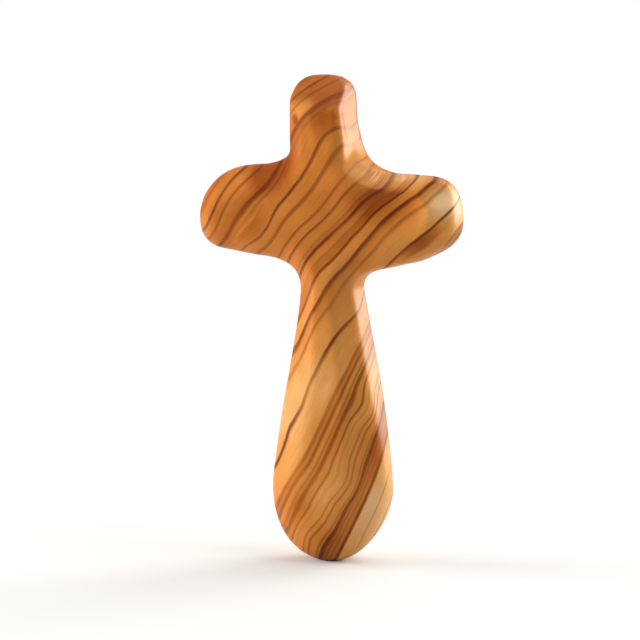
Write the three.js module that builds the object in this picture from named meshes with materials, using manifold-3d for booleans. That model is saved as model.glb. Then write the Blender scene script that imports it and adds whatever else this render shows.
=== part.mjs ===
// Hand cross, carved and sanded from one block of olive wood. Units are millimetres.
// X runs along the arms, -Y is the front, +Z is up, and the foot stands on Z = 0.

import * as THREE from 'three';
import { ParametricGeometry } from 'three/addons/geometries/ParametricGeometry.js';
import { mergeVertices } from 'three/addons/utils/BufferGeometryUtils.js';
import Module from 'manifold-3d';

// Overall places
const HEIGHT = 120;
const ARM_REACH = 34.7;
const ARM_LEVEL = 85.5;
const HEAD_OFFSET = -1.8;
const SHAFT_OFFSET = 1.1;

// Half of the thickness that is left at each place
const HEAD_HALF_DEPTH = 8;
const CROSSING_HALF_DEPTH = 8.6;
const ARM_HALF_DEPTH = 8;
const WAIST_HALF_DEPTH = 8.6;
const FOOT_HALF_DEPTH = 9.2;

// Head
const HEAD_HALF_WIDTH = 7.1;

// Shaft and foot
const WAIST_LEVEL = 68.1;
const WAIST_HALF_WIDTH = 7.1;
const FOOT_LEVEL = 18.4;
const FOOT_HALF_WIDTH = 15.8;
const FOOT_CREST_LEVEL = 18;

// Where the crests of the faces turn or end
const HEAD_CREST_X = -0.8;
const HEAD_CREST_DROP = 6;
const NECK_CREST_LEVEL = 102;
const ARM_ROOT_OUT = 17;
const ARM_CREST_OUT = 25;

// How deep the flat is sanded that the foot stands on
const FOOT_SANDING = 0.35;

// Other flats left by the sander: a point that each one passes through, and its facing
const HEAD_FRONT_FLAT = { drop: 9.5, facing: [0, -0.7, 0.72] };
const HEAD_BACK_FLAT = { drop: 4.5, facing: [0, 0.72, 0.7] };
const TIP_FLAT = { inset: 6.4, rise: 5.2, facing: [0.6, -0.6, 0.53] };

// What differs between the two hand-carved sides: the edge of the outline
// and how full its curves are
const LEFT = {
  sign: -1,
  headCorner: { drop: 4.2 },
  neck: { level: 101.6, flare: 0, slope: -0.05 },
  topRoot: { out: 18.5, rise: 12.3, slope: -0.03 },
  topShoulder: { out: 22, rise: 12.1, slope: -0.15 },
  tip: { rise: -1.1, above: 0.37, below: 0.44 },
  bottomShoulder: { out: 27.2, drop: 9, slope: 0.1 },
  bottomRoot: { out: 15.9, drop: 10.3, slope: 0.04 },
  curves: { headTop: 0.48, crotch: 0.24, armpit: 0.38, waist: 0.15, thigh: 0.14, foot: 0.42 },
};
const RIGHT = {
  sign: 1,
  headCorner: { drop: 8.5 },
  neck: { level: 105.2, flare: 1.1, slope: 0.26 },
  topRoot: { out: 20.5, rise: 10.7, slope: 0.01 },
  topShoulder: { out: 27.4, rise: 10.4, slope: -0.09 },
  tip: { rise: -0.1, above: 0.43, below: 0.43 },
  bottomShoulder: { out: 24.6, drop: 10.2, slope: 0.43 },
  bottomRoot: { out: 20.2, drop: 11.3, slope: 0.33 },
  curves: { headTop: 0.55, crotch: 0.42, armpit: 0.35, waist: 0.05, thigh: 0.2, foot: 0.32 },
};

// Facets between the edge and the faces: how far each one runs in from the edge,
// how deep it goes, and how far its corners are eased
const HEAD_TOP_FACET = { across: 1.6, deep: 3, ease: 1 };
const SOLE_FACET = { across: 7, deep: 5.4, ease: 4 };
const LEFT_FACETS = {
  head: { across: 6.8, deep: 3.6, ease: 1.6 },
  crotch: { across: 7, deep: 4.2, ease: 1.6 },
  armTop: { across: 6.5, deep: 4, ease: 1.8 },
  armTip: { across: 5, deep: 4.5, ease: 2.6 },
  armBottom: { across: 4.5, deep: 4, ease: 2.2 },
  armpit: { across: 5.5, deep: 4.5, ease: 2 },
  waist: { across: 6.5, deep: 4.2, ease: 1.8 },
  shaft: { across: 9.6, deep: 5, ease: 1.8 },
  foot: { across: 8.5, deep: 6.2, ease: 4 },
};
const RIGHT_FACETS = {
  head: { across: 1.2, deep: 3.2, ease: 0.9 },
  crotch: { across: 2.4, deep: 4.6, ease: 1.2 },
  armTop: { across: 2.7, deep: 5.4, ease: 1.8 },
  armTip: { across: 4.6, deep: 4.4, ease: 1.5 },
  armBottom: { across: 4.5, deep: 4, ease: 2.2 },
  armpit: { across: 4, deep: 5, ease: 1.8 },
  waist: { across: 3.8, deep: 5, ease: 1.3 },
  shaft: { across: 5, deep: 4.7, ease: 1.5 },
  foot: { across: 7.5, deep: 6, ease: 4 },
};

// How far along a chord the pull of a plain curve reaches: a third is straight
const PLAIN = 0.33;

// A point of a limb's crest line, where the front and back faces stand furthest out
function crest(x, z, halfDepth) {
  return { core: new THREE.Vector2(x, z), halfDepth };
}

const headCrest = crest(HEAD_CREST_X, HEIGHT - HEAD_CREST_DROP, HEAD_HALF_DEPTH);
const neckCrest = crest(HEAD_CREST_X, NECK_CREST_LEVEL, HEAD_HALF_DEPTH);
const crossingCrest = crest(0, ARM_LEVEL, CROSSING_HALF_DEPTH);
const waistCrest = crest(SHAFT_OFFSET, WAIST_LEVEL, WAIST_HALF_DEPTH);
const footCrest = crest(SHAFT_OFFSET, FOOT_CREST_LEVEL, FOOT_HALF_DEPTH);

// The crest part of the way from one to another
function between(start, end, part) {
  return {
    core: start.core.clone().lerp(end.core, part),
    halfDepth: THREE.MathUtils.lerp(start.halfDepth, end.halfDepth, THREE.MathUtils.smoothstep(part, 0, 1)),
  };
}

// A place on the outline, with its direction, the crest behind it and its facet
function mark(x, z, heading, behind, facet) {
  return {
    at: new THREE.Vector2(x, z),
    heading: new THREE.Vector2(...heading).normalize(),
    behind,
    facet,
  };
}

// One side of the outline, from the top of the head round the arm to the foot
function sideStrokes(side, facets) {
  const s = side.sign;
  const armRootCrest = crest(s * ARM_ROOT_OUT, ARM_LEVEL, CROSSING_HALF_DEPTH);
  const armTipCrest = crest(s * ARM_CREST_OUT, ARM_LEVEL, ARM_HALF_DEPTH);
  const armMark = ({ out, rise, drop, slope }, turn, behind, facet) => mark(
    s * out, ARM_LEVEL + (rise ?? -drop), [turn * s, turn * slope], behind, facet);

  const headEdge = HEAD_OFFSET + s * HEAD_HALF_WIDTH;
  const headTop = mark(HEAD_OFFSET, HEIGHT, [s, 0], headCrest, HEAD_TOP_FACET);
  const headCorner = mark(
    headEdge, HEIGHT - side.headCorner.drop, [0, -1], headCrest, facets.head);
  const neck = mark(
    headEdge + s * side.neck.flare, side.neck.level, [s * side.neck.slope, -1],
    neckCrest, facets.head);

  const topRoot = armMark(side.topRoot, 1, armRootCrest, facets.armTop);
  const topShoulder = armMark(side.topShoulder, 1, armTipCrest, facets.armTop);
  const tip = mark(
    s * ARM_REACH, ARM_LEVEL + side.tip.rise, [0, -1], armTipCrest, facets.armTip);
  const bottomShoulder = armMark(side.bottomShoulder, -1, armTipCrest, facets.armBottom);
  const bottomRoot = armMark(side.bottomRoot, -1, armRootCrest, facets.armBottom);

  const waist = mark(
    SHAFT_OFFSET + s * WAIST_HALF_WIDTH, WAIST_LEVEL, [0, -1], waistCrest, facets.waist);
  const foot = mark(
    SHAFT_OFFSET + s * FOOT_HALF_WIDTH, FOOT_LEVEL, [0, -1], footCrest, facets.foot);
  const sole = mark(SHAFT_OFFSET, -FOOT_SANDING, [-s, 0], footCrest, SOLE_FACET);

  const crotch = { behind: crossingCrest, facet: facets.crotch };
  const armpit = { behind: crossingCrest, facet: facets.armpit };
  const shaft = { behind: between(waistCrest, footCrest, 0.5), facet: facets.shaft };
  const { curves } = side;
  return [
    { from: headTop, to: headCorner, fullness: curves.headTop, steps: 10 },
    { from: headCorner, to: neck, fullness: PLAIN, steps: 5 },
    { from: neck, to: topRoot, through: crotch, fullness: curves.crotch, steps: 14 },
    { from: topRoot, to: topShoulder, fullness: PLAIN, steps: 4 },
    { from: topShoulder, to: tip, fullness: side.tip.above, steps: 8 },
    { from: tip, to: bottomShoulder, fullness: side.tip.below, steps: 8 },
    { from: bottomShoulder, to: bottomRoot, fullness: PLAIN, steps: 4 },
    { from: bottomRoot, to: waist, through: armpit, fullness: curves.armpit, steps: 14 },
    { from: waist, to: foot, through: shaft, fullness: [curves.waist, curves.thigh], steps: 14 },
    { from: foot, to: sole, fullness: curves.foot, steps: 12 },
  ];
}

// The same stroke drawn the other way
function reversed({ from, to, fullness, ...rest }) {
  const turned = (end) => ({ ...end, heading: end.heading.clone().negate() });
  return { from: turned(to), to: turned(from), fullness: [fullness].flat().reverse(), ...rest };
}

// The strokes as stations: edge point, direction, crest and facet
function stationsAlong(strokes) {
  return strokes.flatMap(({ from, to, through, fullness, steps }) => {
    const chord = from.at.distanceTo(to.at);
    const [leaving, arriving] = [fullness].flat();
    const curve = new THREE.CubicBezierCurve(
      from.at,
      from.at.clone().addScaledVector(from.heading, leaving * chord),
      to.at.clone().addScaledVector(to.heading, -(arriving ?? leaving) * chord),
      to.at);
    return Array.from({ length: steps }, (_, step) => {
      const t = step / steps;
      return { edge: curve.getPoint(t), along: curve.getTangent(t), ...sectionAt(from, through, to, t) };
    });
  });
}

// The crest and facet part of the way along a stroke, by way of its middle if it has one
function sectionAt(from, through, to, t) {
  const start = through && t >= 0.5 ? through : from;
  const end = through && t < 0.5 ? through : to;
  const part = through ? (2 * t) % 1 : t;
  const eased = THREE.MathUtils.smoothstep(part, 0, 1);
  const blend = (name) => THREE.MathUtils.lerp(start.facet[name], end.facet[name], eased);
  return {
    ...between(start.behind, end.behind, part),
    across: blend('across'),
    deep: blend('deep'),
    ease: blend('ease'),
  };
}

// Half of a cross section, from the edge at (0, 0) up the side flat, over the eased
// facet and along the face to the crest at (width, halfDepth)
const SECTION_STEPS = [2, 4, 2, 4, 2];

function sectionPoints(width, { halfDepth, across, deep, ease }) {
  const facetEnd = new THREE.Vector2(Math.min(across, 0.86 * width), halfDepth);
  const facetStart = new THREE.Vector2(0, halfDepth - Math.min(deep, 0.8 * halfDepth));
  const run = facetEnd.clone().sub(facetStart);
  const lowEase = Math.min(ease, 0.46 * run.length(), 0.8 * facetStart.y);
  const highEase = Math.min(ease, 0.46 * run.length(), 0.9 * (width - facetEnd.x));
  run.normalize();

  const path = new THREE.Path();
  path.moveTo(0, 0);
  path.lineTo(0, facetStart.y - lowEase);
  path.quadraticCurveTo(
    facetStart.x, facetStart.y, facetStart.x + lowEase * run.x, facetStart.y + lowEase * run.y);
  path.lineTo(facetEnd.x - highEase * run.x, facetEnd.y - highEase * run.y);
  path.quadraticCurveTo(facetEnd.x, facetEnd.y, facetEnd.x + highEase, facetEnd.y);
  path.lineTo(width, halfDepth);
  return path.curves.flatMap((curve, index) => curve.getPoints(SECTION_STEPS[index]).slice(index ? 1 : 0));
}

// One row of points round the section, from the crest of the back over the edge
// to the crest of the front
function stationRow(station) {
  const inward = station.core.clone().sub(station.edge);
  const reach = inward.length();
  inward.normalize();
  const skew = Math.max(0.6, Math.abs(inward.cross(station.along)));
  const half = sectionPoints(reach * skew, station);
  const place = ({ x, y }, face) => {
    const { x: across, y: up } = station.edge.clone().addScaledVector(inward, x / skew);
    return new THREE.Vector3(across, face * y, up);
  };
  const back = half.slice(1).reverse().map((point) => place(point, 1));
  const front = half.map((point) => place(point, -1));
  return [...back, ...front];
}

// The closed skin of the cross: round the outline one way and over the edge the other
function skin() {
  const right = stationsAlong(sideStrokes(RIGHT, RIGHT_FACETS));
  const left = stationsAlong(sideStrokes(LEFT, LEFT_FACETS).map(reversed).reverse());
  const rows = [...right, ...left].map(stationRow);
  const columns = rows[0].length - 1;
  return new ParametricGeometry((u, v, target) => {
    const row = rows[Math.round(v * rows.length) % rows.length];
    target.copy(row[Math.round(u * columns)]);
  }, columns, rows.length);
}

// Triangles that have lost a side, where rows meet at one crest point, are left out
function withoutSlivers(geometry) {
  const kept = [];
  const corners = geometry.index.array;
  for (let first = 0; first < corners.length; first += 3) {
    const [a, b, c] = corners.slice(first, first + 3);
    if (a !== b && b !== c && c !== a) kept.push(a, b, c);
  }
  geometry.setIndex(kept);
  return geometry;
}

// A plane through a point, facing away from the wood that stays
function flatAt(x, y, z, facing) {
  return new THREE.Plane().setFromNormalAndCoplanarPoint(
    new THREE.Vector3(...facing).normalize(), new THREE.Vector3(x, y, z));
}

// The flats sanded on the carved body: what lies beyond each plane is cut away
async function sanded(geometry) {
  const wasm = await Module();
  wasm.setup();
  const carved = new wasm.Manifold(new wasm.Mesh({
    numProp: 3,
    vertProperties: Float32Array.from(geometry.attributes.position.array),
    triVerts: Uint32Array.from(geometry.index.array),
  }));
  const flats = [
    flatAt(0, 0, 0, [0, 0, -1]),
    flatAt(0, -HEAD_HALF_DEPTH, HEIGHT - HEAD_FRONT_FLAT.drop, HEAD_FRONT_FLAT.facing),
    flatAt(0, HEAD_HALF_DEPTH, HEIGHT - HEAD_BACK_FLAT.drop, HEAD_BACK_FLAT.facing),
    flatAt(ARM_REACH - TIP_FLAT.inset, -ARM_HALF_DEPTH, ARM_LEVEL + TIP_FLAT.rise, TIP_FLAT.facing),
  ];
  const body = flats.reduce(
    (solid, { normal, constant }) => solid.trimByPlane(normal.clone().negate().toArray(), constant), carved);
  const { vertProperties, triVerts } = body.getMesh();
  const solid = new THREE.BufferGeometry();
  solid.setAttribute('position', new THREE.BufferAttribute(vertProperties, 3));
  solid.setIndex(new THREE.BufferAttribute(triVerts, 1));
  solid.computeVertexNormals();
  return solid;
}

const surface = skin();
surface.deleteAttribute('normal');
surface.deleteAttribute('uv');

const wood = new THREE.MeshStandardMaterial({ color: '#c8823c', roughness: 0.5, metalness: 0 });
const body = new THREE.Mesh(await sanded(withoutSlivers(mergeVertices(surface, 1e-4))), wood);
body.name = 'cross_body';

const cross = new THREE.Group();
cross.add(body);

export default cross;
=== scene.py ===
"""Hand cross of olive wood, for the eye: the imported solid, softened and grained.

Lengths in the code are metres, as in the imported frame. Places, reaches and depths in the tables
of this file, and distances from the pith, are millimetres.
"""

import math

import bmesh
import bpy
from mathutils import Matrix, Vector, noise
from mathutils.geometry import intersect_point_line


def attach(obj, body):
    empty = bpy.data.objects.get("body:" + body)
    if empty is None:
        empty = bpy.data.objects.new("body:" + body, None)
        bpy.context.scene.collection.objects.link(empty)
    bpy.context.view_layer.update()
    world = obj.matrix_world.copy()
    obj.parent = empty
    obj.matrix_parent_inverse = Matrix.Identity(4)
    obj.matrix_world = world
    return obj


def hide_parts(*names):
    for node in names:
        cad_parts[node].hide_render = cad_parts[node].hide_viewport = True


bl_info = {
    "name": "Olive wood hand cross",
    "version": (1, 0, 0),
    "blender": (4, 5, 0),
    "location": "View3D > Sidebar > Hand Cross",
    "description": "Dresses the packed hand cross as sanded and oiled olive wood",
    "category": "Object",
}

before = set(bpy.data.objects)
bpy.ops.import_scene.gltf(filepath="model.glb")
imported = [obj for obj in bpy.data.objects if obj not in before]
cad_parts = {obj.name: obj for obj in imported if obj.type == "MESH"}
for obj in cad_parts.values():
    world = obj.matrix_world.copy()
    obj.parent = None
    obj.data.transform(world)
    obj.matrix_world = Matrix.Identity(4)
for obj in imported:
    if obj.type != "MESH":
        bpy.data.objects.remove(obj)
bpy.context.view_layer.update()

MM = 0.001
WHITE = (1.0, 1.0, 1.0, 1.0)

# Form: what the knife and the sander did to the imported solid

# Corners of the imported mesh's loose triangles that are nearer than this are one corner (m)
SAME_CORNER = 0.001 * MM

# The noise at which a hand-sanded face keeps its height. It only dips below that, so that the
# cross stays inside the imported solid's box.
NO_DIP = 0.35

# Swells and dips left by the sander: start and end of a line, reach, and how far out (mm)
SWELLS = {
    "neck_right_edge": ((6.5, -6.6, 97), (6.2, -6.4, 110), 4, 1.1),
    "crossing_scoop": ((20, -8.4, 90), (23, -8.4, 91.5), 12, -2.0),
}

# Knife cuts: planes as a point (mm) and the azimuth and elevation that they face (degrees), then
# the middle of the cut and its reach (mm). The wood outside all the planes of a cut is gone.
CUTS = {
    "neck_front": ([((5.0, -7.9, 104), 0, 3)], (5, -8, 105), 11),
    "neck_front_edge": ([((4.9, -7.9, 104), 22, 0)], (6.2, -7.6, 106), 9.5),
    "neck_right": ([((7.0, -7.2, 104), 90, 3), ((12.4, -8.4, 93.6), 42, 48)], (9, -5, 102), 14),
    "head_left_edge": ([((0.2, -7.94, 104), -13, 0)], (-2, -8, 108), 11),
}

# The share of a cut's reach, at its rim, over which the cut runs out
CUT_RIM = 0.25

# How often the whole cross is rubbed after the cuts
LAST_RUBS = 4

# Where the sander went over a cut once more: centre, reach (mm), and how many rubs
RUBBED = ((8, -5, 101), 8, 14)

# What is lower than this (m), and faces down by more than this, is the flat of the foot
FOOT_FLAT_TOP = 0.2 * MM
FOOT_FLAT_NORMAL = -0.7

# Wood: the pith, the swirls but for head_right, and most of the rings' distances come from a
# least-squares fit to ring lines that were traced on the photo. Many borders of the bands follow
# those distances. The rest was set by comparing renders with the photo, also in small patches whose
# colours were measured.

# Growth rings are shells round the tree's pith, which ran past the cross's lower right.
# A point of the pith and its direction, in millimetres of the cross's own frame.
PITH = (180.7, 0.0, -34.8)
PITH_RUN = (-0.665, 1.0, -0.025)

# Where the grain swirls: centre, reach, and how far the rings are pushed out there (mm)
SWIRLS = {
    "foot_heel": ((-1.2, -8.2, 6.8), 8, -1.3),
    "foot_right": ((9.6, -5.8, 24.5), 27, 1.65),
    "foot_knot": ((8.3, -8.5, 21.4), 7, 1.2),
    "foot_left": ((-8.9, -7.8, 19.1), 12, -1.3),
    "foot_left_edge": ((-13.8, -4.6, 23.5), 13, 1.75),
    "shaft_right": ((13.9, -5.3, 39.6), 7, 1.7),
    "shaft_low": ((-0.6, -8.7, 47.4), 10, -1.1),
    "shaft_high": ((2.2, -8.8, 57.6), 11, -2.2),
    "waist_right": ((8.9, -2.4, 65.0), 7, 0.7),
    "waist": ((0.1, -8.6, 73.3), 17, -3.1),
    "crossing_low": ((6.7, -7.4, 74.4), 9, 1.0),
    "crossing_left": ((-13.9, -8.4, 82.0), 8, 1.1),
    "crossing": ((14.9, -7.7, 84.7), 28, -2.8),
    "crossing_middle": ((-0.2, -8.6, 88.5), 10, 0.85),
    "left_arm": ((-23.5, -6.4, 91.4), 14, -2.0),
    "right_arm_low": ((30.1, -2.5, 77.8), 7, 1.1),
    "right_notch": ((18.5, -6.2, 96.6), 9, 1.5),
    "head_root": ((-0.8, -8.1, 98.0), 9, 0.85),
    "head": ((-3.7, -8.0, 111.3), 21, -4.7),
    "head_right": ((12.0, 1.0, 108.5), 12, 5.2),
}

# The small wander of the rings: its length, and how far it pushes them (mm)
WANDER_LENGTH = 3
WANDER = 0.13

# Dark late-wood lines: distance from the pith (mm), darkness, and width (mm)
RINGS = [
    (143.5, 0.4, 0.6), (147.0, 0.5, 0.6), (150.4, 0.3, 0.5), (154.2, 0.85, 0.8),
    (155.6, 0.35, 0.5), (156.6, 0.35, 0.4), (157.7, 0.85, 1.0), (158.6, 0.4, 0.5),
    (160.5, 0.55, 0.6), (161.8, 0.5, 0.5), (163.8, 0.25, 0.5), (165.1, 0.65, 0.5),
    (166.8, 0.75, 0.9), (167.8, 0.45, 0.5), (169.2, 0.65, 0.7), (170.5, 0.5, 0.8),
    (175.3, 0.9, 0.7), (180.0, 0.5, 0.8), (182.4, 0.85, 0.9), (185.1, 0.75, 0.6),
    (186.8, 0.2, 0.6), (189.0, 0.8, 0.9), (190.3, 0.3, 0.5), (193.9, 0.6, 0.8),
    (197.0, 0.55, 0.8), (202.0, 0.5, 1.1), (205.4, 0.8, 0.7), (209.0, 0.35, 0.5),
    (210.3, 0.7, 0.9), (213.4, 0.5, 0.6), (215.6, 0.7, 0.7), (218.4, 0.4, 0.9),
    (221.5, 0.5, 0.7),
]

# The shape of a line: corners in widths from its middle, and the share of its darkness there.
# It darkens slowly away from the pith and ends sharply.
LINE_SHAPE = ((-0.85, 0.0), (-0.25, 1.0), (0.2, 1.0), (0.55, 0.0))

# The lines grow fainter and stronger again: over which length (mm), and between which strengths
LINE_FADING_LENGTH = 16
LINE_STRENGTHS = (0.55, 1.1)

# Where the lines are fainter: centre, reach (mm), and how their strength changes
FAINT = ((12, -6, 97), 10, -0.6)

# Brownness of the wood between the lines, from 0 to 1: distance from the pith (mm), and brownness
BANDS = [
    (140.0, 0.3), (144.0, 0.05), (153.6, 0.1), (154.2, 0.85), (155.5, 0.75), (157.5, 0.85),
    (158.0, 0.6), (159.0, 0.5), (161.0, 0.45), (163.5, 0.35), (164.8, 0.4), (165.3, 0.6),
    (166.3, 0.55), (167.0, 0.75), (168.0, 0.6), (168.6, 0.5), (169.2, 0.75), (170.3, 0.7),
    (170.8, 0.35), (172.0, 0.25), (178.0, 0.25), (180.0, 0.4), (181.8, 0.6), (182.6, 0.7),
    (183.0, 0.35), (184.7, 0.35), (185.2, 0.75), (186.8, 0.65), (187.2, 0.5), (188.6, 0.55),
    (189.2, 0.7), (190.0, 0.6), (192.0, 0.5), (193.7, 0.6), (195.0, 0.5), (197.0, 0.55),
    (199.0, 0.5), (201.0, 0.45), (202.0, 0.6), (203.0, 0.5), (205.0, 0.45), (206.0, 0.55),
    (209.0, 0.55), (210.0, 0.75), (211.5, 0.6), (213.0, 0.6), (216.0, 0.6), (219.0, 0.75),
    (225.0, 0.6),
]

# Browner and paler places: centre, reach (mm), how much browner, and where one keeps to some of the
# rings, the distances from the pith that it lies between (mm). Most are stains and pale wood. The
# place on the left arm's top and crossing_shade are painted shade. The pale places on the right
# arm's tip and top are painted highlights, and those on the shaft, neck and notch are partly paler
# wood and partly painted highlight.
STAINS_AND_PAINTED_LIGHT = {
    "left_arm_kink": ((-19.5, -8, 85), 9, 0.35, 205.8, 208.3),
    # Painted shade: the head's shadow darkens the top of the left arm.
    "left_arm_top_painted_shade": ((-13, -5.5, 98), 10, 0.8),
    "left_arm_brown": ((-22, -7, 86), 13, 0.15, 210.0, 212.2),
    "crossing": ((5, -8, 86), 26, 0.1),
    "right_arm": ((22, -8, 92), 14, 0.15),
    "right_arm_lens": ((27, -7, 81), 11, 0.75, 173.0, 175.4),
    # Painted highlights: the right arm's tip and top made paler where light catches them.
    "right_arm_tip_painted_highlight": ((32, -4, 90), 9, -0.6),
    "right_arm_top_painted_highlight": ((21, -2, 97), 9, -0.9),
    "head_pale": ((-4.1, -7, 112.6), 5, -0.6),
    "head_spot": ((-6.2, -5.8, 109.3), 1.8, 0.6),
    "head_top": ((-1, -4, 117), 12, 0.35),
    "head_middle": ((3, -8, 110), 7, 0.3),
    "neck_left": ((-5, -7, 103), 8, 0.15),
    "crossing_shade": ((16, -8, 91), 9, 0.45),
    # Partly paler wood and partly painted highlight on the neck's right facet and in the notch.
    "neck_right": ((10, -3, 102), 10, -0.4),
    "notch": ((13.5, -6, 96), 7, -0.55),
    "waist": ((3, -8, 70), 9, -0.1),
    "foot_middle": ((3, -9, 21), 15, -0.25),
    "foot_right": ((14, -4, 14), 14, -0.25),
    # Partly paler wood and partly painted highlight on the shaft's left and right facets.
    "shaft_left": ((-12, -4, 42), 25, -0.3),
    "shaft_right": ((10, -2, 46), 16, -0.3),
}

# How far a stain that keeps to some rings runs out either side of its edges (mm): at the edge
# nearer the pith, and at the farther one
STAIN_EDGE_NEAR = 0.3
STAIN_EDGE_FAR = 0.15

# Slow mottle: its length (mm), and how much browner or paler
MOTTLE_LENGTH = 7
MOTTLE = 0.16

# Streaks of pores: the way that the trunk grew, the streaks' width and length (mm), and contrast.
# Real pores are finer, and are drawn as coarse as this to show at all.
TRUNK = (0.55, 0.35, 0.76)
STREAK_WIDTH = 0.45
STREAK_LENGTH = 9
STREAK_CONTRAST = 0.3

# Where the cutter tore the grain a little: centre, reach (mm), and how much the contrast grows
TORN = ((14.5, -4, 96), 5, 3.0)

# The brownness of the palest wood, and where pale and amber lie on the way from cream to brown
PALEST = -0.3
PALE_AT = 0.35
AMBER_AT = 0.63

# Oiled surface: roughness on the dense wood and on the pores, and how deep rings and pores are (m)
GLOSS = (0.28, 0.42)
RELIEF = 0.03 * MM

# A new ramp is begun at this many stops, near the most that one holds, and past this length (mm),
# so that its corners stay sharp
RAMP_STOPS = 30
RAMP_LENGTH = 12

# Stage

# Round floor: its radius, and where a white haze starts and has covered it (m), and the share of
# white at the start. Only the camera sees the haze, and the floor in this colour.
FLOOR_RADIUS = 6.0
HAZE_START = 0.05
HAZE_END = 0.35
HAZE_LEAST = 0.15
FLOOR_SEEN = "e2e6ea"

# The room's light, and how steeply a ray rises, from 0 to 1, where walls end and ceiling starts
ROOM_COLOUR = "fffcf6"
WALLS_END = 0.1
CEILING_START = 0.9

# What the lamps face, half way up the cross (m)
LAMPS_FACE = Vector((0.0, 0.0, 0.06))

# Camera, from a fit to the photo's outline: azimuth to the right of the front and elevation
# (degrees), and distance (m). The scale holds at the cross's origin, which lies on the pixel
# given. The sensor's width is in mm.
VIEW_AZIMUTH = 26
VIEW_ELEVATION = 6.5
VIEW_DISTANCE = 0.6
PIXELS_PER_METRE = 4015
IMAGE_SIZE = 640
ORIGIN_PIXEL = (328.43, 558.54)
SENSOR = 36


def linear(hex_colour):
    """The linear colour of an sRGB hex value such as "c8823c"."""
    parts = [int(hex_colour[i:i + 2], 16) / 255 for i in (0, 2, 4)]
    return tuple(
        p / 12.92 if p <= 0.04045 else ((p + 0.055) / 1.055) ** 2.4 for p in parts) + (1.0,)


def colour_setting(name, description, hex_colour):
    """A setting for a colour, whose default is an sRGB hex value."""
    return bpy.props.FloatVectorProperty(
        name=name, description=description, subtype="COLOR", size=4,
        min=0.0, max=1.0, default=linear(hex_colour))


def power_setting(name, description, watts):
    """A setting for the power of a lamp."""
    return bpy.props.FloatProperty(
        name=name, description=description, default=watts, min=0.0, unit="POWER")


class HandCrossBody(bpy.types.PropertyGroup):
    """Sizes of the carved body's finish."""

    grain_of_mesh: bpy.props.FloatProperty(
        name="Mesh grain", description="Edge length of the finished mesh's faces",
        default=0.38 * MM, min=0.3 * MM, max=2 * MM, unit="LENGTH", precision=5)
    sanding_passes: bpy.props.IntProperty(
        name="Sanding passes", description="How often the surface is rubbed before the cuts",
        default=6, min=0, max=40)
    waviness: bpy.props.FloatProperty(
        name="Waviness", description="How far the hand-sanded faces dip",
        default=0.12 * MM, min=0.0, max=1 * MM, unit="LENGTH", precision=5)
    waviness_length: bpy.props.FloatProperty(
        name="Waviness length", description="Distance from one dip to the next",
        default=14 * MM, min=2 * MM, unit="LENGTH", precision=4)


class HandCrossWood(bpy.types.PropertyGroup):
    """Colours of the olive wood."""

    # Pale places that are painted highlights pull the wood towards cream and pale.
    cream: colour_setting("Cream wood", "The palest wood, low on the right of the foot", "eec492")
    pale: colour_setting("Pale wood", "Early wood in the widest bands", "da964c")
    amber: colour_setting("Amber wood", "Most of the wood", "cb7d33")
    brown: colour_setting("Brown wood", "Wood of the dense bands", "9e4e14")
    ring: colour_setting("Ring lines", "Dark lines of late wood", "5e2406")


class HandCrossStage(bpy.types.PropertyGroup):
    """The floor and the light."""

    floor_colour: colour_setting("Floor", "Colour that the floor casts back", "cccac6")
    key: power_setting("Key window", "Power of the window behind on the right", 9.0)
    fill: power_setting("Left window", "Power of the wide window on the left", 19.0)
    high: power_setting("High window", "Power of the small window high on the right", 3.0)
    roof: power_setting("Roof window", "Power of the window in the roof behind", 3.0)
    walls: bpy.props.FloatProperty(
        name="Walls", description="Brightness of the room round the cross",
        default=0.22, min=0.0)
    ceiling: bpy.props.FloatProperty(
        name="Ceiling", description="Brightness of the room above the cross",
        default=0.6, min=0.0)


def empty_tree(owner):
    """The node tree of a material or a world, emptied."""
    owner.use_nodes = True
    owner.node_tree.nodes.clear()
    return owner.node_tree


def add(tree, kind, inputs=None, **settings):
    """Adds a shader node. An input, by name or number, takes a value, an output or a node, which
    stands for its first output."""
    node = tree.nodes.new(kind)
    for name, value in settings.items():
        setattr(node, name, value)
    shown = [socket for socket in node.inputs if socket.enabled]
    for name, value in (inputs or {}).items():
        socket = shown[name] if isinstance(name, int) else next(s for s in shown if s.name == name)
        if isinstance(value, bpy.types.Node):
            value = next(output for output in value.outputs if output.enabled)
        if isinstance(value, bpy.types.NodeSocket):
            tree.links.new(value, socket)
        else:
            socket.default_value = value
    return node


def near(tree, place, centre, reach, amount):
    """The amount at a centre, which dies away smoothly to nothing at its reach."""
    away = add(tree, "ShaderNodeVectorMath", {0: place, 1: centre}, operation="DISTANCE")
    return add(
        tree, "ShaderNodeMapRange",
        {"Value": away.outputs["Value"], "From Max": reach, "To Min": amount, "To Max": 0.0},
        interpolation_type="SMOOTHSTEP")


def between(tree, distance, low, high, amount):
    """The amount where the distance from the pith lies between low and high, or else nothing."""
    entered = add(tree, "ShaderNodeMapRange", {
        "Value": distance, "From Min": low - STAIN_EDGE_NEAR, "From Max": low + STAIN_EDGE_NEAR})
    left = add(tree, "ShaderNodeMapRange", {
        "Value": distance, "From Min": high - STAIN_EDGE_FAR, "From Max": high + STAIN_EDGE_FAR,
        "To Min": 1.0, "To Max": 0.0})
    inside = add(tree, "ShaderNodeMath", {0: entered, 1: left}, operation="MULTIPLY")
    return add(tree, "ShaderNodeMath", {0: inside, 1: amount}, operation="MULTIPLY")


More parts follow.
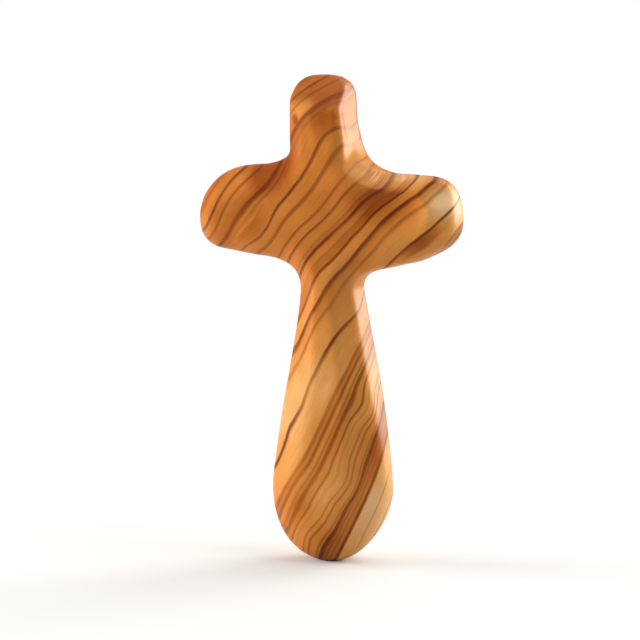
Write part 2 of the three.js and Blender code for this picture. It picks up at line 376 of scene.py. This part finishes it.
def distance_from_pith(tree, place):
    """How far a place in the wood lay from the pith (mm), with the swirls of the grain."""
    run = Vector(PITH_RUN).normalized()
    out = add(tree, "ShaderNodeVectorMath", {0: place, 1: PITH}, operation="SUBTRACT")
    across = add(tree, "ShaderNodeVectorMath", {0: out, 1: run}, operation="CROSS_PRODUCT")
    total = add(tree, "ShaderNodeVectorMath", {0: across}, operation="LENGTH").outputs["Value"]
    for swirl in SWIRLS.values():
        pushed = near(tree, place, *swirl)
        total = add(tree, "ShaderNodeMath", {0: total, 1: pushed}, operation="ADD")
    wander = add(tree, "ShaderNodeTexNoise", {
        "Vector": place, "Scale": 1 / WANDER_LENGTH, "Detail": 2.0, "Roughness": 0.6})
    shift = add(tree, "ShaderNodeMapRange", {"Value": wander, "To Min": -WANDER, "To Max": WANDER})
    return add(tree, "ShaderNodeMath", {0: total, 1: shift}, operation="ADD")


def ring_stops(rings):
    """The corners of the ring lines' darkness, as stops (distance, darkness)."""
    shapes = [
        [(at + corner * width, share * darkness) for corner, share in LINE_SHAPE]
        for at, darkness, width in rings]

    def darkness_at(spot):
        levels = [0.0]
        for shape in shapes:
            for (start, low), (end, high) in zip(shape, shape[1:]):
                if start <= spot <= end:
                    levels.append(low + (high - low) * (spot - start) / (end - start))
        return max(levels)

    corners = sorted({spot for shape in shapes for spot, _ in shape})
    return [(spot, darkness_at(spot)) for spot in corners]


def stretches(stops):
    """The stops in runs that a ramp can hold and draw sharply. Each starts where one ended."""
    run = stops[:1]
    for stop in stops[1:]:
        run.append(stop)
        if len(run) == RAMP_STOPS or run[-1][0] - run[0][0] > RAMP_LENGTH:
            yield run
            run = [stop]
    if len(run) > 1:
        yield run


def charted(tree, distance, stops):
    """A grey level that follows the distance from the pith, through the stops (distance, level)."""
    level = None
    for run in stretches(stops):
        start, end = run[0][0], run[-1][0]
        part = add(tree, "ShaderNodeMapRange", {
            "Value": distance, "From Min": start, "From Max": end})
        ramp = add(tree, "ShaderNodeValToRGB", {"Fac": part})
        elements = ramp.color_ramp.elements
        elements.remove(elements[-1])
        elements[0].color = (run[0][1],) * 3 + (1.0,)
        for at, shade in run[1:]:
            elements.new((at - start) / (end - start)).color = (shade,) * 3 + (1.0,)
        if level is None:
            level = ramp
            continue
        beyond = add(tree, "ShaderNodeMath", {0: distance, 1: start}, operation="GREATER_THAN")
        level = add(tree, "ShaderNodeMix", {
            "Factor": beyond, "A": level, "B": ramp}, data_type="FLOAT")
    return level


def oiled_olive_wood(settings):
    """Olive wood, sanded by hand and rubbed with oil: amber with dark curved rings, a satin sheen
    on the flats, and pores and rings that just catch the light."""
    material = bpy.data.materials.new("olive_wood_sanded_oiled")
    tree = empty_tree(material)
    place = add(tree, "ShaderNodeVectorMath", {
        0: add(tree, "ShaderNodeTexCoord").outputs["Object"], "Scale": 1 / MM}, operation="SCALE")
    distance = distance_from_pith(tree, place)

    # Ring lines, which grow fainter and stronger again every few centimetres. The noise hardly
    # leaves the range from 0.3 to 0.7.
    faintest, strongest = LINE_STRENGTHS
    strength = add(tree, "ShaderNodeTexNoise", {
        "Vector": place, "Scale": 1 / LINE_FADING_LENGTH, "Detail": 1.0})
    strength = add(tree, "ShaderNodeMapRange", {
        "Value": strength, "From Min": 0.3, "From Max": 0.7,
        "To Min": faintest, "To Max": strongest})
    strength = add(tree, "ShaderNodeMath", {
        0: strength, 1: near(tree, place, *FAINT)}, operation="ADD")
    lines = add(tree, "ShaderNodeMath", {
        0: charted(tree, distance, ring_stops(RINGS)), 1: strength}, operation="MULTIPLY")

    # Brownness of the wood between them, with stains, painted shade, painted highlights and a slow
    # mottle
    tone = charted(tree, distance, BANDS)
    for centre, reach, amount, *rings in STAINS_AND_PAINTED_LIGHT.values():
        stain_and_painted_light = near(tree, place, centre, reach, amount)
        if rings:
            stain_and_painted_light = between(tree, distance, *rings, stain_and_painted_light)
        tone = add(tree, "ShaderNodeMath", {0: tone, 1: stain_and_painted_light}, operation="ADD")
    mottle = add(tree, "ShaderNodeTexNoise", {
        "Vector": place, "Scale": 1 / MOTTLE_LENGTH, "Detail": 4.0})
    mottle = add(tree, "ShaderNodeMapRange", {
        "Value": mottle, "To Min": -MOTTLE, "To Max": MOTTLE})
    tone = add(tree, "ShaderNodeMath", {0: tone, 1: mottle}, operation="ADD")

    # Streaks of pores, thin across the rings and drawn out along the trunk. They are browner and
    # paler either side of the noise's middle, which is 0.5.
    up_the_trunk = add(tree, "ShaderNodeVectorMath", {
        0: place, 1: Vector(TRUNK).normalized()}, operation="DOT_PRODUCT").outputs["Value"]
    streak_space = add(tree, "ShaderNodeCombineXYZ", {
        "X": add(tree, "ShaderNodeMath", {
            0: distance, 1: 1 / STREAK_WIDTH}, operation="MULTIPLY"),
        "Y": add(tree, "ShaderNodeMath", {
            0: up_the_trunk, 1: 1 / STREAK_LENGTH}, operation="MULTIPLY")})
    streaks = add(tree, "ShaderNodeTexNoise", {
        "Vector": streak_space, "Scale": 1.0, "Detail": 3.0})
    contrast = add(tree, "ShaderNodeMath", {
        0: near(tree, place, *TORN), 1: STREAK_CONTRAST}, operation="ADD")
    streaky = add(tree, "ShaderNodeMath", {0: streaks, 1: 0.5}, operation="SUBTRACT")
    streaky = add(tree, "ShaderNodeMath", {0: streaky, 1: contrast}, operation="MULTIPLY")
    tone = add(tree, "ShaderNodeMath", {0: tone, 1: streaky}, operation="ADD")

    tone = add(tree, "ShaderNodeMapRange", {"Value": tone, "From Min": PALEST})
    wood = add(tree, "ShaderNodeValToRGB", {"Fac": tone})
    shades = wood.color_ramp.elements
    shades[0].color, shades[1].color = settings.cream, settings.brown
    shades.new(PALE_AT).color = settings.pale
    shades.new(AMBER_AT).color = settings.amber
    ringed = add(tree, "ShaderNodeMix", {
        "Factor": lines, "A": wood, "B": tuple(settings.ring)}, data_type="RGBA")

    # A thin oil finish, wiped off again. The oil's IOR alone would mirror more than the real one
    # does, so the level is lower than the usual 0.5.
    dense, porous = GLOSS
    gloss = add(tree, "ShaderNodeMapRange", {
        "Value": streaks, "To Min": dense, "To Max": porous})
    relief = add(tree, "ShaderNodeMath", {0: lines, 1: streaks}, operation="ADD")
    bump = add(tree, "ShaderNodeBump", {"Height": relief, "Distance": RELIEF, "Strength": 0.5})
    shader = add(tree, "ShaderNodeBsdfPrincipled", {
        "Base Color": ringed, "Roughness": gloss, "IOR": 1.47, "Specular IOR Level": 0.18,
        "Normal": bump})
    add(tree, "ShaderNodeOutputMaterial", {"Surface": shader})
    return material


def camera_rays(tree):
    """1 for rays straight from the camera, or through glass, and 0 for all others."""
    seen = add(tree, "ShaderNodeLightPath").outputs
    return add(tree, "ShaderNodeMath", {
        0: seen["Is Camera Ray"], 1: seen["Is Transmission Ray"]}, operation="MAXIMUM")


def paper_floor(settings):
    """Matt white card that runs out of focus into the light: it keeps the cross's soft shadow."""
    material = bpy.data.materials.new("white_card_matt")
    tree = empty_tree(material)
    direct = camera_rays(tree)
    colour = add(tree, "ShaderNodeMix", {
        "Factor": direct, "A": tuple(settings.floor_colour), "B": linear(FLOOR_SEEN)},
        data_type="RGBA")
    card = add(tree, "ShaderNodeBsdfDiffuse", {"Color": colour})
    glow = add(tree, "ShaderNodeEmission", {"Color": WHITE, "Strength": 1.0})
    out = add(tree, "ShaderNodeVectorMath", {
        0: add(tree, "ShaderNodeTexCoord").outputs["Object"]}, operation="LENGTH")
    haze = add(
        tree, "ShaderNodeMapRange",
        {"Value": out.outputs["Value"], "From Min": HAZE_START, "From Max": HAZE_END,
         "To Min": HAZE_LEAST},
        interpolation_type="SMOOTHSTEP")
    hazy = add(tree, "ShaderNodeMath", {0: direct, 1: haze}, operation="MULTIPLY")
    mixed = add(tree, "ShaderNodeMixShader", {0: hazy, 1: card, 2: glow})
    add(tree, "ShaderNodeOutputMaterial", {"Surface": mixed})
    return material


def facing(azimuth, elevation):
    """The direction at an azimuth, from the front towards the right, and an elevation, both in
    degrees."""
    turn, rise = math.radians(azimuth), math.radians(elevation)
    level = math.cos(rise)
    return Vector((math.sin(turn) * level, -math.cos(turn) * level, math.sin(rise)))


def eased(share):
    """A share from 0 to 1 that starts and ends gently."""
    return share * share * (3 - 2 * share)


def nearest_on_line(place, start, end):
    """The point of the line from start to end (mm) that is nearest to a place (m)."""
    start, end = Vector(start) * MM, Vector(end) * MM
    _, share = intersect_point_line(place, start, end)
    return start.lerp(end, min(1.0, max(0.0, share)))


def evened(context, cross, edge):
    """The cross's surface with even faces, for editing. Folds left by a cut are merged."""
    modifier = cross.modifiers.new("even_faces", "REMESH")
    modifier.mode = "VOXEL"
    modifier.voxel_size = edge
    even = bpy.data.meshes.new_from_object(
        cross.evaluated_get(context.evaluated_depsgraph_get()))
    cross.modifiers.clear()
    bm = bmesh.new()
    bm.from_mesh(even)
    bpy.data.meshes.remove(even)
    return bm


def rub(bm, verts, times):
    """Rubs some of the surface smooth a number of times."""
    for _ in range(times):
        bmesh.ops.smooth_vert(
            bm, verts=verts, factor=0.5, use_axis_x=True, use_axis_y=True, use_axis_z=True)


def ripple(bm, depth, length):
    """Lets the faces dip a little here and there, as sanding by hand leaves them."""
    for vert in bm.verts:
        dip = noise.noise(vert.co / length) - NO_DIP
        vert.co += vert.normal * (depth * min(0.0, dip))


def swell(bm, start, end, reach, out):
    """Raises the surface near a line, or sinks it where it goes out by less than nothing (mm)."""
    for vert in bm.verts:
        away = (vert.co - nearest_on_line(vert.co, start, end)).length / (reach * MM)
        if away < 1:
            vert.co += vert.normal * (out * MM * eased(1 - away))


def cut(bm, planes, centre, reach):
    """Cuts off the wood outside all the planes, within the reach of a centre (mm)."""
    planes = [(Vector(point) * MM, facing(*faces)) for point, *faces in planes]
    for vert in bm.verts:
        away = (vert.co - Vector(centre) * MM).length / (reach * MM)
        over, way = min(((vert.co - point).dot(normal), normal[:]) for point, normal in planes)
        if away < 1 and over > 0:
            vert.co -= Vector(way) * (over * eased(min(1.0, (1 - away) / CUT_RIM)))


def flatten_foot(bm):
    """Brings the flat under the foot down to the floor."""
    for vert in bm.verts:
        if vert.co.z < FOOT_FLAT_TOP and vert.normal.z < FOOT_FLAT_NORMAL:
            vert.co.z = 0.0


class HANDCROSS_OT_body(bpy.types.Operator):
    """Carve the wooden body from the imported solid"""

    bl_idname = "handcross.body"
    bl_label = "Carve Body"

    def execute(self, context):
        sizes = context.scene.hand_cross_body
        mesh = bpy.data.meshes.new("olive_wood_cross")
        bm = bmesh.new()
        bm.from_mesh(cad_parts["cross_body"].data)
        bmesh.ops.remove_doubles(bm, verts=bm.verts, dist=SAME_CORNER)
        bm.to_mesh(mesh)
        bm.free()
        cross = bpy.data.objects.new("olive_wood_cross", mesh)
        context.scene.collection.objects.link(cross)

        bm = evened(context, cross, sizes.grain_of_mesh)
        rub(bm, bm.verts, sizes.sanding_passes)
        bm.normal_update()
        ripple(bm, sizes.waviness, sizes.waviness_length)
        for line in SWELLS.values():
            swell(bm, *line)
        for planes in CUTS.values():
            cut(bm, *planes)
        bm.to_mesh(mesh)
        bm.free()

        bm = evened(context, cross, sizes.grain_of_mesh)
        rub(bm, bm.verts, LAST_RUBS)
        centre, reach, rubs = RUBBED
        centre = Vector(centre) * MM
        rub(bm, [vert for vert in bm.verts if (vert.co - centre).length < reach * MM], rubs)
        bm.normal_update()
        flatten_foot(bm)
        for face in bm.faces:
            face.smooth = True
        bm.to_mesh(mesh)
        bm.free()

        mesh.materials.append(oiled_olive_wood(context.scene.hand_cross_wood))
        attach(cross, "root")
        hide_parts("cross_body")
        return {"FINISHED"}


def lay_floor(scene, settings):
    """Lays the round card that the cross stands on."""
    mesh = bpy.data.meshes.new("floor")
    bm = bmesh.new()
    bmesh.ops.create_circle(bm, cap_ends=True, segments=96, radius=FLOOR_RADIUS)
    bm.to_mesh(mesh)
    bm.free()
    mesh.materials.append(paper_floor(settings))
    floor = bpy.data.objects.new("floor", mesh)
    scene.collection.objects.link(floor)


def light_room(scene, settings):
    """Puts a room round the cross that brightens towards the ceiling, and that the camera sees
    as plain white."""
    scene.world = bpy.data.worlds.new("white_room")
    tree = empty_tree(scene.world)
    direction = add(tree, "ShaderNodeSeparateXYZ", {
        0: add(tree, "ShaderNodeTexCoord").outputs["Generated"]})
    glow = add(
        tree, "ShaderNodeMapRange",
        {"Value": direction.outputs["Z"], "From Min": WALLS_END, "From Max": CEILING_START,
         "To Min": settings.walls, "To Max": settings.ceiling},
        interpolation_type="SMOOTHSTEP")
    lit = add(tree, "ShaderNodeBackground", {"Color": linear(ROOM_COLOUR), "Strength": glow})
    white = add(tree, "ShaderNodeBackground", {"Color": WHITE, "Strength": 1.0})
    mixed = add(tree, "ShaderNodeMixShader", {0: camera_rays(tree), 1: lit, 2: white})
    add(tree, "ShaderNodeOutputWorld", {"Surface": mixed})


def hang_lamps(scene, settings):
    """Hangs the windows' lamps round the cross."""
    # Azimuth from the front towards the right and elevation (degrees), distance and size (m),
    # power, colour, and whether the wood mirrors it. The left window's mirror image, seen from
    # the right, would wash out the front of the crossing. The lamps were set with the help of a
    # fit to the photo for the key, left and roof windows.
    lamps = {
        "key_window": (149, 10, 0.9, 0.6, settings.key, "fff8ee", True),
        "left_window": (-74, 9, 1.1, 0.7, settings.fill, "fff6ea", False),
        "high_window": (90, 47, 1.0, 0.5, settings.high, "fffaf2", True),
        "roof_window": (172, 64, 1.0, 0.8, settings.roof, "fffaf2", True),
    }
    for name, (azimuth, elevation, distance, size, power, colour, mirrored) in lamps.items():
        lamp = bpy.data.lights.new(name, "AREA")
        lamp.shape = "SQUARE"
        lamp.size = size
        lamp.energy = power
        lamp.color = linear(colour)[:3]
        holder = bpy.data.objects.new(name, lamp)
        out = facing(azimuth, elevation)
        holder.location = LAMPS_FACE + out * distance
        holder.rotation_euler = out.to_track_quat("Z", "Y").to_euler()
        scene.collection.objects.link(holder)
        holder.visible_glossy = mirrored


def place_camera(scene):
    """Places the camera so that the cross's origin lies on its pixel, at the scale given."""
    back = facing(VIEW_AZIMUTH, VIEW_ELEVATION)
    right = facing(VIEW_AZIMUTH + 90, 0)
    up = back.cross(right)
    middle = IMAGE_SIZE / 2
    across, down = ORIGIN_PIXEL
    aim = (right * (middle - across) + up * (down - middle)) / PIXELS_PER_METRE
    lens = bpy.data.cameras.new("camera")
    lens.sensor_width = SENSOR
    lens.lens = PIXELS_PER_METRE * VIEW_DISTANCE * SENSOR / IMAGE_SIZE
    camera = bpy.data.objects.new("camera", lens)
    camera.location = aim + back * VIEW_DISTANCE
    camera.rotation_euler = back.to_track_quat("Z", "Y").to_euler()
    scene.collection.objects.link(camera)
    scene.camera = camera


class HANDCROSS_OT_stage(bpy.types.Operator):
    """Set up the floor, the lamps and the camera"""

    bl_idname = "handcross.stage"
    bl_label = "Set Stage"

    def execute(self, context):
        scene = context.scene
        lay_floor(scene, scene.hand_cross_stage)
        light_room(scene, scene.hand_cross_stage)
        hang_lamps(scene, scene.hand_cross_stage)
        place_camera(scene)
        scene.view_settings.view_transform = "Standard"
        return {"FINISHED"}


class HANDCROSS_PT_panel(bpy.types.Panel):
    """Lists the cross's sizes, colours and makers."""

    bl_label = "Hand Cross"
    bl_idname = "HANDCROSS_PT_panel"
    bl_space_type = "VIEW_3D"
    bl_region_type = "UI"
    bl_category = "Hand Cross"

    def draw(self, context):
        scene = context.scene
        for title, settings, operator in (
                ("Body", scene.hand_cross_body, HANDCROSS_OT_body.bl_idname),
                ("Wood", scene.hand_cross_wood, None),
                ("Stage", scene.hand_cross_stage, HANDCROSS_OT_stage.bl_idname)):
            box = self.layout.box()
            box.label(text=title)
            for name in settings.bl_rna.properties.keys():
                if name not in ("rna_type", "name"):
                    box.prop(settings, name)
            if operator:
                box.operator(operator)


CLASSES = (
    HandCrossBody, HandCrossWood, HandCrossStage,
    HANDCROSS_OT_body, HANDCROSS_OT_stage, HANDCROSS_PT_panel,
)


def register():
    for cls in CLASSES:
        bpy.utils.register_class(cls)
    bpy.types.Scene.hand_cross_body = bpy.props.PointerProperty(type=HandCrossBody)
    bpy.types.Scene.hand_cross_wood = bpy.props.PointerProperty(type=HandCrossWood)
    bpy.types.Scene.hand_cross_stage = bpy.props.PointerProperty(type=HandCrossStage)


def unregister():
    del bpy.types.Scene.hand_cross_stage
    del bpy.types.Scene.hand_cross_wood
    del bpy.types.Scene.hand_cross_body
    for cls in reversed(CLASSES):
        bpy.utils.unregister_class(cls)


def main():
    register()
    bpy.ops.handcross.stage()
    bpy.ops.handcross.body()


if __name__ == "__main__":
    main()
